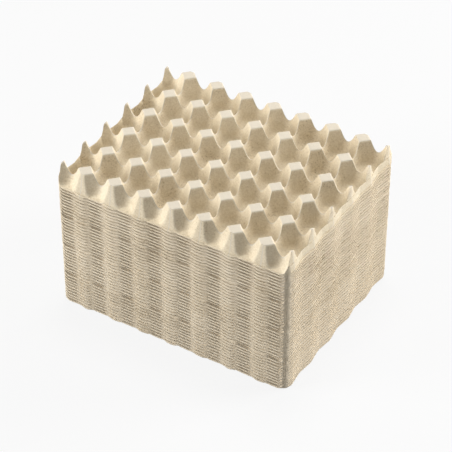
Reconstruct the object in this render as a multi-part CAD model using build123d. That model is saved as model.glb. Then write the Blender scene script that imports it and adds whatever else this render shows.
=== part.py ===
from build123d import *
import os
from math import atan, cos, radians, sin, tan

# A stack of moulded pulp egg trays, nested one in another.
# Millimetres, +Z up. The origin is on the floor, under the middle of the stack.
# X runs along the long side of a tray, Y along the short side.

# ---- the cell lattice -----------------------------------------------------------------
cell_columns = 8  # cells along X
cell_rows = 5  # cells along Y
pitch_x = 48.0  # centre to centre of two cells along X
pitch_y = 53.0  # centre to centre of two cells along Y

# ---- one tray -------------------------------------------------------------------------
tray_height = 36.0  # floor to the flat tops of the posts
wall = 1.4  # thickness of the pressed pulp
draft = 16.0  # lean of the steep walls from vertical, in degrees
cup_mouth_radius = 29.6  # at the level of the post tops, where neighbouring cups run together
cup_shoulder_level = 19.0  # where the steep upper wall turns into the bowl
cup_floor_radius = 9.0  # flat on which the tray stands

# ---- the edge of a tray -----------------------------------------------------------------
brim_level = 3.4  # floor to the underside of the rim
side_overhang = 7.5  # last row of posts to the top edge of the long side walls
end_overhang = 35.0  # last full column of posts to the top edge of the end walls
corner_radius = 14.0  # corners of the rim
lobe_radius = 9.0  # rounded lobe of the rim under each post of the long sides
lobe_reach = 1.6  # how far a lobe stands out past the foot of the long side wall

# ---- the stack --------------------------------------------------------------------------
tray_count = 40
bundle_size = 10  # trays are counted into the stack in tens
seat_gap = 0.12  # upright play between two nested trays
bundle_gap = 1.0  # further play under the first tray of each later ten

# ---- worked out from the sizes above -----------------------------------------------------
lean = tan(radians(draft))
steep_skin = wall / cos(radians(draft))  # the wall of a steep face, measured level
nest_pitch = wall / sin(radians(draft)) + seat_gap  # a steep wall seats on the one below
cup_floor = wall
post_underside = tray_height - wall
brim_top = brim_level + wall
over_the_top = tray_height + 6.0  # cutting bodies end above the tray
under_the_brim = brim_level - 1.0
bowl_radius = cup_mouth_radius - (tray_height - cup_shoulder_level) * lean
bowl_tilt = atan((bowl_radius - cup_floor_radius) / (cup_shoulder_level - cup_floor))

cell_x = [(k - (cell_columns - 1) / 2) * pitch_x for k in range(cell_columns)]
cell_y = [(k - (cell_rows - 1) / 2) * pitch_y for k in range(cell_rows)]
flute_y = (cell_rows + 1) / 2 * pitch_y  # centre line of the hollows outside the long sides
post_x = [(k - (cell_columns - 2) / 2) * pitch_x for k in range(cell_columns - 1)]
last_post_x = max(post_x)
last_post_y = cell_rows / 2 * pitch_y


def round_body(outline):
    """A solid turned about Z from (radius, height) points."""
    return revolve(make_face(Polyline(*[(r, 0, z) for r, z in outline], close=True)), Axis.Z)


def steep_radius(height, skin):
    """Radius of the upper wall of a cup or flute, moved out by skin times its thickness."""
    return cup_mouth_radius - (tray_height - height) * lean + skin * steep_skin


def bowl_radius_at(height, skin):
    """Radius of the bowl of a cup, moved out by skin times its thickness."""
    return cup_floor_radius + (height - cup_floor) * tan(bowl_tilt) + skin * wall / cos(bowl_tilt)


def cup(skin):
    """The hollow of one cup: skin 0 is the face that the egg meets, skin 1 the underside."""
    floor = cup_floor - skin * wall
    gap = bowl_radius_at(0, skin) - steep_radius(0, skin)
    shoulder = gap / (lean - tan(bowl_tilt))
    outline = [
        (0, floor),
        (bowl_radius_at(floor, skin), floor),
        (bowl_radius_at(shoulder, skin), shoulder),
        (steep_radius(over_the_top, skin), over_the_top),
        (0, over_the_top),
    ]
    return round_body(outline)


def cup_foot():
    """The part of a cup that hangs below the rim, as a solid plug."""
    outline = [
        (0, 0),
        (bowl_radius_at(0, 1), 0),
        (bowl_radius_at(brim_top, 1), brim_top),
        (0, brim_top),
    ]
    return round_body(outline)


def flute(skin):
    """The hollow in a long side wall between two posts, open towards the outside."""
    floor = brim_top - skin * wall
    outline = [
        (0, floor),
        (steep_radius(floor, skin), floor),
        (steep_radius(over_the_top, skin), over_the_top),
        (0, over_the_top),
    ]
    return round_body(outline)


def hill(skin, bottom, top):
    """The tray as a solid block with leaning sides, moved in by skin times its thickness."""
    spread = (tray_height - bottom) * lean - skin * steep_skin
    length = 2 * (last_post_x + end_overhang + spread)
    width = 2 * (last_post_y + side_overhang + spread)
    base = RectangleRounded(length, width, corner_radius)
    return Pos(0, 0, bottom) * extrude(base, top - bottom, taper=draft)


def rim():
    """The flat rim, with a lobe under each post of the long sides."""
    foot_spread = (tray_height - brim_level) * lean
    length = 2 * (last_post_x + end_overhang + foot_spread)
    wall_foot_y = last_post_y + side_overhang + foot_spread
    outline = RectangleRounded(length, 2 * wall_foot_y, corner_radius)
    lobe_y = wall_foot_y + lobe_reach - lobe_radius
    for x in post_x:
        for side in (-1, 1):
            outline += Pos(x, side * lobe_y) * Circle(lobe_radius)
    return Pos(0, 0, brim_level) * extrude(outline, wall)


def cell_hollows(skin):
    """Every cup and every flute of the lattice, placed."""
    one_cup = cup(skin)
    one_flute = flute(skin)
    cups = [Pos(x, y, 0) * one_cup for x in cell_x for y in cell_y]
    flutes = [Pos(x, side * flute_y, 0) * one_flute for x in cell_x for side in (-1, 1)]
    return cups + flutes


def tray():
    """One tray: the form above the pulp, less the form below it."""
    one_foot = cup_foot()
    feet = [Pos(x, y, 0) * one_foot for x in cell_x for y in cell_y]
    upper_form = hill(0, brim_level, tray_height) + rim() + feet - cell_hollows(0)
    lower_form = hill(1, under_the_brim, post_underside) - cell_hollows(1)
    return (upper_form - lower_form).solid()


def lift(number):
    """Height of a tray's floor in the stack, with tray 0 at the bottom."""
    return number * nest_pitch + (number // bundle_size) * bundle_gap


os.makedirs("parts", exist_ok=True)
one_tray = tray()
for number in range(tray_count):
    placed = Pos(0, 0, lift(number)) * one_tray
    export_step(placed, f"parts/tray_{number + 1:02d}.step", write_pcurves=False)
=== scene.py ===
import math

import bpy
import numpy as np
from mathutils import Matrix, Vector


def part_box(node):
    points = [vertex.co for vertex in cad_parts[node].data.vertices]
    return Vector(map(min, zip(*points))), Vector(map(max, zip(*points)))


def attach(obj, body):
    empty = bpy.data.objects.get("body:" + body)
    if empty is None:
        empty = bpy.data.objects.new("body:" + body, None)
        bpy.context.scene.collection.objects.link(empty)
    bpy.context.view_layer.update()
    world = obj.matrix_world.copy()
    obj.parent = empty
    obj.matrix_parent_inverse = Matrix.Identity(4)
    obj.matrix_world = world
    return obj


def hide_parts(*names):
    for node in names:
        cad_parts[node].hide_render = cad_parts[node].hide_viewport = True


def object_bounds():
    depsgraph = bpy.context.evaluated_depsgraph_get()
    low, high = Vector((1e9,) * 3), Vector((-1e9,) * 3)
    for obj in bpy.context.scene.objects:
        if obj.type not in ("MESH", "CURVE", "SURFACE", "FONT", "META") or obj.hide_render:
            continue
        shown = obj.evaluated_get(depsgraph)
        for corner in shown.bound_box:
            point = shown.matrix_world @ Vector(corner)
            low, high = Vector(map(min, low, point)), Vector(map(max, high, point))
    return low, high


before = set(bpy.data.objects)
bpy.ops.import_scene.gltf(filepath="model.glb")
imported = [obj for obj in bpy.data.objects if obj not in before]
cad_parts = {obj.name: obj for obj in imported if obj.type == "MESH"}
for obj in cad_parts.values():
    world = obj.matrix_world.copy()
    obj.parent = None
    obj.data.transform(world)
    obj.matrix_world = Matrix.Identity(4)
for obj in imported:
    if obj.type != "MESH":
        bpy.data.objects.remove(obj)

# %% [markdown]
# # A stack of moulded pulp egg trays
#
# Each tray is pressed from wet paper pulp on a mesh mould and then dried, forty of them
# nested one in another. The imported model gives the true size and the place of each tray.
# This lesson gives the trays their soft edges, their uneven rims and their fibrous finish.

cad_low, cad_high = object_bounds()
trays = sorted(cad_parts)
print(len(trays), "trays in a box of", [round(v, 4) for v in cad_high - cad_low])

# %% [markdown]
# ## The lattice of cells
#
# Every tray repeats one cell: a cup with a flat-topped post at each of its corners.
# The sizes here are the mould's own, and the tray's outline is read from the frame.

# %% Sizes of the mould
MM = 0.001
PITCH_X, PITCH_Y = 48 * MM, 53 * MM
COLUMNS, ROWS = 8, 5
TRAY_HEIGHT = 36 * MM
WALL = 1.4 * MM
RIM_TOP = 4.8 * MM
LAST_POST_X = (COLUMNS / 2 - 1) * PITCH_X
LAST_POST_Y = ROWS / 2 * PITCH_Y
HALF_LENGTH = cad_high.x
HALF_WIDTH = cad_high.y
print("half length and width", round(HALF_LENGTH, 4), round(HALF_WIDTH, 4))


# %% [markdown]
# ## Soft joins
#
# Wet pulp can't hold a sharp edge, so the surfaces of the mould meet in small rounds.
# A soft maximum or minimum of two heights joins them that way, with no bevel tool.

# %% Soft maximum and minimum
def soft_max(a, b, blend):
    return 0.5 * (a + b + np.sqrt((a - b) ** 2 + blend ** 2))


def soft_min(a, b, blend):
    return 0.5 * (a + b - np.sqrt((a - b) ** 2 + blend ** 2))


def ramp(value, start, end):
    """0 before start, 1 after end, and smooth between."""
    part = np.clip((value - start) / (end - start), 0, 1)
    return part * part * (3 - 2 * part)


# %% [markdown]
# ## The form of a cup
#
# Seen from above, a cup is a soft octagon: four sides end at the saddles between posts,
# and four slanting sides are the flanks of the posts. One measure tells how far out a
# point lies on that octagon, and the height follows from it: flat floor, bowl, steep wall.

# %% The octagon of a cup
FLOOR_REACH = 8 * MM
SADDLE_REACH = 22.6 * MM
POST_EDGE_REACH = 27.5 * MM
SADDLE_LEVEL = 19 * MM
CUP_CORNER = 3 * MM
STEEP = (TRAY_HEIGHT - SADDLE_LEVEL) / (POST_EDGE_REACH - SADDLE_REACH)
BOWL_POWER = STEEP * (SADDLE_REACH - FLOOR_REACH) / (SADDLE_LEVEL - WALL)


def cup_reach(x, y):
    """How far out a point lies from the middle of its cup, on the octagon's measure."""
    across = np.sqrt((((x / PITCH_X) % 1 - 0.5) * PITCH_X) ** 2 + MM ** 2)
    along = np.sqrt((((y / PITCH_Y + 0.5) % 1 - 0.5) * PITCH_Y) ** 2 + MM ** 2)
    to_saddle_x = across * (SADDLE_REACH - 0.5 * MM) / (PITCH_X / 2)
    to_saddle_y = along * (SADDLE_REACH - 0.5 * MM) / (PITCH_Y / 2)
    to_post = (across + along) * math.sqrt(0.5)
    return soft_max(soft_max(to_saddle_x, to_saddle_y, CUP_CORNER), to_post, CUP_CORNER)


def cell_height(x, y):
    """Height of the pulp inside the lattice, before the outer walls cut it."""
    reach = cup_reach(x, y)
    steep = SADDLE_LEVEL + (reach - SADDLE_REACH) * STEEP
    bowl_part = np.clip((reach - FLOOR_REACH) / (SADDLE_REACH - FLOOR_REACH), 0, 1)
    bowl = WALL + (SADDLE_LEVEL - WALL) * bowl_part ** BOWL_POWER
    cell = np.where(reach > SADDLE_REACH, steep, bowl)
    return soft_min(cell, TRAY_HEIGHT - 0.1 * MM, 0.5 * MM)


print("a steep wall leans", round(math.degrees(math.atan(1 / STEEP)), 1), "degrees")

# %% [markdown]
# ## The outer walls and the rim
#
# The long sides cut through the outer posts and leave a half cup, a flute, between two of
# them. The ends have one straight wall, whose edge stands above the rim.

# %% Height of the whole upper face
SIDE_EDGE_Y = LAST_POST_Y + 9.0 * MM
SIDE_LEAN = 0.2
END_LEAN = 0.05
END_LEDGE = 1.2 * MM
END_WALL_TOP = 17.0 * MM
END_WALL_WIDTH = 2.9 * MM
SCALLOP = 3.4 * MM


def end_edge(y):
    """Length of the tray from its middle to its end, which is folded in at each cup."""
    from_cup = np.abs((y / PITCH_Y) % 1 - 0.5) * 2
    return HALF_LENGTH - from_cup * SCALLOP


def upper_face(x, y):
    """Height of the pulp over the floor of its own tray."""
    cell = cell_height(x, y)
    outside = ramp(np.abs(y), LAST_POST_Y - 2 * MM, LAST_POST_Y + 2 * MM)
    cell = np.where(outside > 0, soft_max(cell, RIM_TOP * outside, 1.2 * MM), cell)
    from_end = end_edge(y) - np.abs(x)
    side_face = TRAY_HEIGHT - (np.abs(y) - SIDE_EDGE_Y) / SIDE_LEAN
    end_face = END_WALL_TOP + (from_end - END_WALL_WIDTH - 0.3 * MM) / END_LEAN
    end_wall = np.minimum(RIM_TOP + (from_end - END_LEDGE) * 16,
                          END_WALL_TOP - np.maximum(from_end - END_WALL_WIDTH, 0) * 3)
    height = soft_min(cell, end_face, 1.5 * MM)
    height = soft_min(soft_max(height, end_wall, 0.3 * MM), side_face, 0.8 * MM)
    on_rim = (np.abs(y) > LAST_POST_Y) | (from_end < END_WALL_WIDTH)
    height = np.where(on_rim, np.maximum(height, RIM_TOP), height)
    return np.clip(height, WALL, TRAY_HEIGHT)


# %% [markdown]
# ## The plan of a tray
#
# The plan is a grid bent to the outline: rounded corners, a lobe under each outer post of
# the long sides, and shallow scallops along the ends. Lines crowd together near the ends.

# %% Bend a grid to the outline
CORNER = 14 * MM
LOBE_REACH = 1.3 * MM
LOBE_HALF = 9 * MM


def lines(half, inner, band, extra):
    middle = np.linspace(band - half, half - band, inner)
    edge = np.linspace(half - band, half, extra + 1)[1:]
    return np.concatenate([-edge[::-1], middle, edge])


def from_post(x):
    """Distance along the side to the nearest outer post."""
    return np.abs((x / PITCH_X + 0.5) % 1 - 0.5) * PITCH_X


def plan(count_x, count_y, inset):
    """Places of a grid of points, whose edge lies inset from the edge of the rim."""
    x, t = np.meshgrid(lines(HALF_LENGTH, count_x, 7.0 * MM, 12),
                       lines(1.0, count_y, 0.06, 6), indexing="ij")
    lobe = np.sqrt(np.clip(1 - (from_post(x) / LOBE_HALF) ** 2, 0, 1)) * LOBE_REACH
    into_corner = np.clip(np.abs(x) - (HALF_LENGTH - CORNER), 0, CORNER)
    rounding = CORNER - np.sqrt(np.maximum(CORNER ** 2 - into_corner ** 2, 0))
    foot = HALF_WIDTH - 1.9 * MM + lobe * (into_corner == 0) - rounding
    near_side = ramp(np.abs(t), 0.8, 1.0)
    y = t * (foot * near_side + (HALF_WIDTH - 1.9 * MM - rounding) * (1 - near_side))
    near_end = ramp(np.abs(x), HALF_LENGTH - 20 * MM, HALF_LENGTH - 7 * MM)
    x = x - np.sign(x) * near_end * (HALF_LENGTH - end_edge(y))
    shrink = 1 - inset / HALF_WIDTH
    return x * shrink, y * shrink


# %% [markdown]
# ## A tray as one closed skin
#
# The upper face is a fine grid and the underside a coarser one, lowered by the thickness
# of the pulp. The rim turns down in a short lip of uneven depth: it closes the gap to the
# next rim at the lobes and the ends, and leaves a dark slit between. Where a tray is
# hidden by the one above, a Decimate modifier thins its middle and keeps its rim.

# %% Rings and faces of the skin
LIP_THICKNESS = 1.3 * MM


def ring(count_x, count_y, start):
    """Point numbers round the edge of a grid."""
    index = np.arange(count_x * count_y).reshape(count_x, count_y) + start
    return np.concatenate([index[:, 0], index[-1, 1:], index[-2::-1, -1], index[0, -2:0:-1]])


def grid_faces(count_x, count_y, start, flip):
    index = np.arange(count_x * count_y).reshape(count_x, count_y) + start
    corners = [index[:-1, :-1], index[1:, :-1], index[1:, 1:], index[:-1, 1:]]
    if flip:
        corners.reverse()
    return np.stack([corner.ravel() for corner in corners], 1).tolist()


def strip_faces(outer, inner):
    return np.stack([outer, inner, np.roll(inner, -1), np.roll(outer, -1)], 1).tolist()


def lip_depth(x, y):
    """How far the rim turns down: deep at the lobes and the ends, shallow beside a lobe."""
    beside = np.exp(-((from_post(x) - 10.5 * MM) / (2.6 * MM)) ** 2)
    lobe = 1 - ramp(from_post(x), 5 * MM, 8.5 * MM)
    closed = 0.5 + 0.5 * np.cos(2.4 * np.round(x / PITCH_X) + 1)
    side = 2.4 * MM + (0.2 + 1.4 * closed) * MM * lobe - 1.2 * MM * beside
    end = ramp(np.abs(x), HALF_LENGTH - 9 * MM, HALF_LENGTH - 4 * MM)
    return side * (1 - end) + 2.3 * MM * end


def tray_skin(count_x, count_y):
    """Points and faces of one closed tray, and which points belong to its rim."""
    x, y = plan(count_x, count_y, 0)
    top = upper_face(x, y)
    low_x, low_y = plan(count_x, count_y, LIP_THICKNESS)
    low_x, low_y = low_x[::2, ::2], low_y[::2, ::2]
    low_top = upper_face(low_x, low_y)
    slope_x = np.gradient(low_top, axis=0) / np.gradient(low_x, axis=0)
    slope_y = np.gradient(low_top, axis=1) / np.gradient(low_y, axis=1)
    depth = WALL * np.minimum(np.sqrt(1 + slope_x ** 2 + slope_y ** 2), 3.2)
    under = np.maximum(low_top - depth, 0.0)
    upper = np.stack([x, y, top], -1).reshape(-1, 3)
    lower = np.stack([low_x, low_y, under], -1).reshape(-1, 3)
    outer_ring = ring(*x.shape, 0)
    inner_ring = ring(*low_x.shape, len(upper))
    lip_outer = upper[outer_ring[::2]].copy()
    lip_inner = lower[inner_ring - len(upper)].copy()
    drop = lip_depth(lip_outer[:, 0], lip_outer[:, 1])
    lip_outer[:, 2] = np.maximum(RIM_TOP - drop, 0.1 * MM)
    lip_inner[:, 2] = lip_outer[:, 2]
    points = np.concatenate([upper, lower, lip_outer, lip_inner])
    first = len(upper) + len(lower)
    outer_lip = np.arange(len(lip_outer)) + first
    inner_lip = outer_lip + len(lip_outer)
    even, odd = outer_ring[::2], outer_ring[1::2]
    turned = np.stack([odd, even, outer_lip, np.roll(outer_lip, -1), np.roll(even, -1)], 1)
    faces = grid_faces(*x.shape, 0, False) + grid_faces(*low_x.shape, len(upper), True)
    faces += turned.tolist() + strip_faces(outer_lip, inner_lip)
    faces += strip_faces(inner_lip, inner_ring)
    reach = np.maximum(np.abs(points[:, 0]) - (HALF_LENGTH - 12 * MM),
                       np.abs(points[:, 1]) - (HALF_WIDTH - 15 * MM))
    return points, faces, reach > 0


# %% Turn a skin into a mesh
def skin_mesh(name, points, faces):
    mesh = bpy.data.meshes.new(name)
    mesh.from_pydata(points.tolist(), [], faces)
    mesh.shade_smooth()
    mesh.set_sharp_from_angle(angle=math.radians(52))
    mesh.update()
    return mesh


def thinned(mesh, rim, ratio):
    """The same mesh with its middle thinned and its rim kept."""
    holder = bpy.data.objects.new("thinning", mesh)
    bpy.context.collection.objects.link(holder)
    middle = holder.vertex_groups.new(name="middle")
    middle.add(np.flatnonzero(~rim).tolist(), 1.0, "REPLACE")
    thin = holder.modifiers.new("thin", "DECIMATE")
    thin.ratio = ratio
    thin.vertex_group = "middle"
    thin.vertex_group_factor = 8.0
    bpy.context.view_layer.update()
    evaluated = holder.evaluated_get(bpy.context.evaluated_depsgraph_get())
    result = bpy.data.meshes.new_from_object(evaluated)
    bpy.data.objects.remove(holder)
    return result


top_mesh = skin_mesh("top_tray", *tray_skin(257, 217)[:2])
points, faces, rim = tray_skin(125, 103)
nested_mesh = thinned(skin_mesh("nested_tray", points, faces), rim, 0.42)
nested_mesh.calc_loop_triangles()
top_mesh.calc_loop_triangles()
print("top tray", len(top_mesh.loop_triangles), "triangles, nested tray",
      len(nested_mesh.loop_triangles), "from", len(faces), "faces")

# %% [markdown]
# ## Shader maths in plain expressions
#
# The finish varies over the surface, so it is worked out by nodes. A small class wraps a
# socket, so that sums of noise and masks are written as ordinary expressions.

# %% The socket class and the finish maker
class Value:
    def __init__(self, finish, socket):
        self.finish = finish
        self.socket = socket

    def maths(self, operation, other, swap=False):
        pair = (other, self) if swap else (self, other)
        return self.finish.node("ShaderNodeMath", {"operation": operation}, {0: pair[0], 1: pair[1]})

    def __add__(self, other):
        return self.maths("ADD", other)

    __radd__ = __add__

    def __mul__(self, other):
        return self.maths("MULTIPLY", other)

    __rmul__ = __mul__

    def __sub__(self, other):
        return self.maths("SUBTRACT", other)

    def __rsub__(self, other):
        return self.maths("SUBTRACT", other, swap=True)


class Finish:
    def __init__(self, name):
        self.material = bpy.data.materials.new(name)
        self.material.use_nodes = True
        self.tree = self.material.node_tree
        self.shader = self.tree.nodes["Principled BSDF"]

    def node(self, kind, settings, inputs, output=0):
        made = self.tree.nodes.new(kind)
        for key, value in settings.items():
            if key == "stops":
                ramp = made.color_ramp
                ramp.elements[0].position, ramp.elements[0].color = value[0]
                ramp.elements[1].position, ramp.elements[1].color = value[-1]
                for position, colour in value[1:-1]:
                    ramp.elements.new(position).color = colour
            else:
                setattr(made, key, value)
        for key, value in inputs.items():
            self.feed(made.inputs[key], value)
        return Value(self, made.outputs[output])

    def feed(self, socket, value):
        if isinstance(value, Value):
            self.tree.links.new(value.socket, socket)
        else:
            socket.default_value = value


# %% [markdown]
# ## The pulp
#
# Recycled pulp is matt and warm grey-brown. Broad clouds come from uneven drying, small
# flecks are bits of fibre, and the mesh of the mould leaves a fine grain in relief.

# %% The pulp finish
PULP_LIGHT = (0.73, 0.64, 0.50, 1)
PULP_DARK = (0.60, 0.51, 0.375, 1)
PULP_FLECK = (0.36, 0.28, 0.18, 1)
# Pale crest colour: partly wear from rubbing, partly a painted highlight on post tops and ridges.
PULP_WEAR_AND_HIGHLIGHT = (0.66, 0.60, 0.50, 1)
# Paler pulp for the top tray alone: painted light that lifts its shaded cups above the same pulp below.
TOP_PAINTED_LIT_LIGHT = (0.77, 0.68, 0.52, 1)
TOP_PAINTED_LIT_DARK = (0.65, 0.55, 0.39, 1)
CREST_HALF = 1.1 * MM


def crest_wear_and_highlight_mask(finish, place):
    """1 on post tops and on the ridges between cups, which are paler from wear by rubbing and a painted
    highlight, and 0 elsewhere.
    """
    split = finish.node("ShaderNodeSeparateXYZ", {}, {0: place}).socket.node.outputs
    to_x = finish.node("ShaderNodeMath", {"operation": "PINGPONG"}, {0: Value(finish, split[0]), 1: PITCH_X / 2})
    to_y = finish.node("ShaderNodeMath", {"operation": "PINGPONG"}, {0: Value(finish, split[1]), 1: PITCH_Y / 2})
    nearest = finish.node("ShaderNodeMath", {"operation": "MINIMUM"}, {0: to_x, 1: PITCH_Y / 2 - to_y})
    inside = finish.node("ShaderNodeMapRange", {"interpolation_type": "SMOOTHSTEP"},
                         {"Value": nearest, "From Min": CREST_HALF, "From Max": CREST_HALF * 0.3})
    top = finish.node("ShaderNodeMapRange", {"interpolation_type": "SMOOTHSTEP"},
                      {"Value": Value(finish, split[2]), "From Min": cad_high.z - 1.2 * MM,
                       "From Max": cad_high.z - 0.5 * MM})
    return finish.node("ShaderNodeMath", {"operation": "MAXIMUM"}, {0: inside, 1: top})


def pulp_finish(name, shade, light=PULP_LIGHT, dark=PULP_DARK, wear_and_highlight=False):
    finish = Finish(name)
    place = finish.node("ShaderNodeTexCoord", {}, {}, output=3)
    clouds = finish.node("ShaderNodeTexNoise", {}, {"Vector": place, "Scale": 14.0, "Detail": 4.0})
    fibres = finish.node("ShaderNodeTexNoise", {}, {"Vector": place, "Scale": 420.0, "Detail": 5.0})
    grain = finish.node("ShaderNodeTexNoise", {}, {"Vector": place, "Scale": 1100.0, "Detail": 3.0})
    tone = clouds * 0.4 + fibres * 0.6 + (0.075 + shade)
    colour = finish.node("ShaderNodeValToRGB",
                         {"stops": [(0.37, PULP_FLECK), (0.48, dark), (0.70, light)]},
                         {"Fac": tone})
    # Post tops and ridges turn paler: wear from rubbing, and a painted highlight where light catches them.
    if wear_and_highlight:
        colour = finish.node("ShaderNodeMix", {"data_type": "RGBA"},
                             {0: crest_wear_and_highlight_mask(finish, place) * 0.8, 6: colour, 7: PULP_WEAR_AND_HIGHLIGHT}, output=2)
    relief = finish.node("ShaderNodeBump", {},
                         {"Height": fibres + grain * 0.5, "Strength": 0.35, "Distance": 0.0006})
    finish.feed(finish.shader.inputs["Base Color"], colour)
    finish.feed(finish.shader.inputs["Normal"], relief)
    finish.shader.inputs["Roughness"].default_value = 0.92
    finish.shader.inputs["Specular IOR Level"].default_value = 0.2
    return finish.material


finishes = [pulp_finish(f"pulp_{number + 1}", shade) for number, shade in enumerate((0.0, -0.03, 0.03))]
# The top tray's pulp is a paler copy with painted light, and its crests carry the painted highlight.
painted_lit_top_finish = pulp_finish("pulp_top_painted_lit", 0.0, TOP_PAINTED_LIT_LIGHT, TOP_PAINTED_LIT_DARK, wear_and_highlight=True)
print(len(finishes), "shades of pulp, and one for the top tray")

# %% [markdown]
# ## Forty trays
#
# Trays never nest quite alike: each sits a fraction of a millimetre to one side, and its
# rim waves a little as it dried. The waves drift slowly from tray to tray, because a rim
# follows the one below. The top tray has the fine mesh, since it alone is seen whole.

# %% Place and warp the trays
SHIFT = 0.35 * MM
WAVE = 0.45 * MM
BUNDLE_SLIT = 3.6 * MM


def warped(points, number, rng):
    """Points of one tray with its rim waved and its place a little off."""
    x, y, z = points.T
    angle = np.arctan2(y / HALF_WIDTH, x / HALF_LENGTH)
    edge = ramp(np.maximum(np.abs(x) / HALF_LENGTH, np.abs(y) / HALF_WIDTH), 0.9, 1.0)
    wave = (np.sin(5 * angle + 0.23 * number) + np.sin(11 * angle - 0.31 * number)
            + 0.7 * np.sin(23 * angle + 0.9 * number) + 0.5 * np.sin(41 * angle + 2.1 * number))
    inward = 0.5 + 0.5 * np.sin(17 * angle + 1.7 * number + rng.uniform(0, 2))
    shift_x, shift_y = rng.uniform(-1, 0.2, 2) * SHIFT
    moved = np.empty_like(points)
    moved[:, 0] = x * (1 - edge * inward * 0.45 * MM / HALF_LENGTH) - np.sign(x) * abs(shift_x) * edge
    moved[:, 1] = y * (1 - edge * inward * 0.45 * MM / HALF_WIDTH) - np.sign(y) * abs(shift_y) * edge
    moved[:, 2] = np.clip(z + edge * wave * WAVE * 0.4, 0.0, TRAY_HEIGHT)
    if number and number % 10 == 0:
        on_side = np.abs(y) > HALF_WIDTH - 5 * MM
        moved[:, 2] = np.where(on_side, np.maximum(moved[:, 2], BUNDLE_SLIT), moved[:, 2])
    return moved


def place_tray(number, name, mesh, rng):
    points = np.empty(len(mesh.vertices) * 3)
    mesh.vertices.foreach_get("co", points)
    points = warped(points.reshape(-1, 3), number, rng)
    points[:, 2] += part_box(name)[0][2]
    mesh.vertices.foreach_set("co", points.ravel())
    mesh.update()
    piece = bpy.data.objects.new(f"pulp_{name}", mesh)
    bpy.context.collection.objects.link(piece)
    mesh.materials.clear()
    # The top tray takes the paler pulp with painted light; each other tray a random shade.
    mesh.materials.append(painted_lit_top_finish if mesh == top_mesh else finishes[rng.integers(0, len(finishes))])
    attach(piece, "root")
    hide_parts(name)


rng = np.random.default_rng(7)
for number, name in enumerate(trays):
    is_top = name == trays[-1]
    place_tray(number, name, top_mesh if is_top else nested_mesh.copy(), rng)
print("placed", len(trays), "trays")

# %% [markdown]
# ## Floor, light and camera
#
# A pale floor and backdrop, a broad key light from the right and behind, and a weak fill.

# %% Floor and backdrop
floor_mesh = bpy.data.meshes.new("floor")
floor_mesh.from_pydata([(-15, -15, 0), (15, -15, 0), (15, 15, 0), (-15, 15, 0)], [], [(0, 1, 2, 3)])
floor = bpy.data.objects.new("floor", floor_mesh)
bpy.context.collection.objects.link(floor)
floor_finish = Finish("floor_white")
floor_finish.shader.inputs["Base Color"].default_value = (0.55, 0.55, 0.55, 1)
floor_finish.shader.inputs["Roughness"].default_value = 1.0
seen = floor_finish.node("ShaderNodeLightPath", {}, {}, output="Is Camera Ray")
for ray in ("Is Glossy Ray", "Is Transmission Ray"):
    seen = seen + floor_finish.node("ShaderNodeLightPath", {}, {}, output=ray)
white = floor_finish.node("ShaderNodeEmission", {}, {"Color": (1, 1, 1, 1), "Strength": 1.0})
lit = Value(floor_finish, floor_finish.shader.outputs["BSDF"])
shown = floor_finish.node("ShaderNodeMixShader", {}, {0: seen * 0.88, 1: lit, 2: white})
surface = floor_finish.tree.nodes["Material Output"].inputs["Surface"]
floor_finish.feed(surface, shown)
floor_mesh.materials.append(floor_finish.material)

world = bpy.data.worlds.new("studio")
bpy.context.scene.world = world
world.use_nodes = True
world.node_tree.nodes["Background"].inputs["Color"].default_value = (1, 1, 1, 1)
world.node_tree.nodes["Background"].inputs["Strength"].default_value = 0.14


# %% Lamps
def area_lamp(name, place, size, power):
    lamp = bpy.data.lights.new(name, "AREA")
    lamp.size = size
    lamp.energy = power
    holder = bpy.data.objects.new(name, lamp)
    holder.location = place
    aim = Vector((0, 0, 0.15)) - Vector(place)
    holder.rotation_euler = aim.to_track_quat("-Z", "Y").to_euler()
    bpy.context.collection.objects.link(holder)


area_lamp("above", (-0.3, 0.7, 3.1), 1.0, 50)
area_lamp("right", (2.2, 2.25, 1.2), 1.7, 135)
area_lamp("left", (-2.5, -2.2, 1.0), 1.7, 122)

# %% Camera
lens_aim = Vector((0.0, 0.0, 0.112))
azimuth, elevation, distance = math.radians(-58.5), math.radians(39.5), 2.95
camera_data = bpy.data.cameras.new("camera")
camera_data.lens = 165
camera = bpy.data.objects.new("camera", camera_data)
direction = Vector((math.cos(azimuth) * math.cos(elevation), math.sin(azimuth) * math.cos(elevation),
                    math.sin(elevation)))
camera.location = lens_aim + direction * distance
camera.rotation_euler = (-direction).to_track_quat("-Z", "Y").to_euler()
bpy.context.collection.objects.link(camera)
bpy.context.scene.camera = camera
bpy.context.scene.view_settings.view_transform = "Standard"
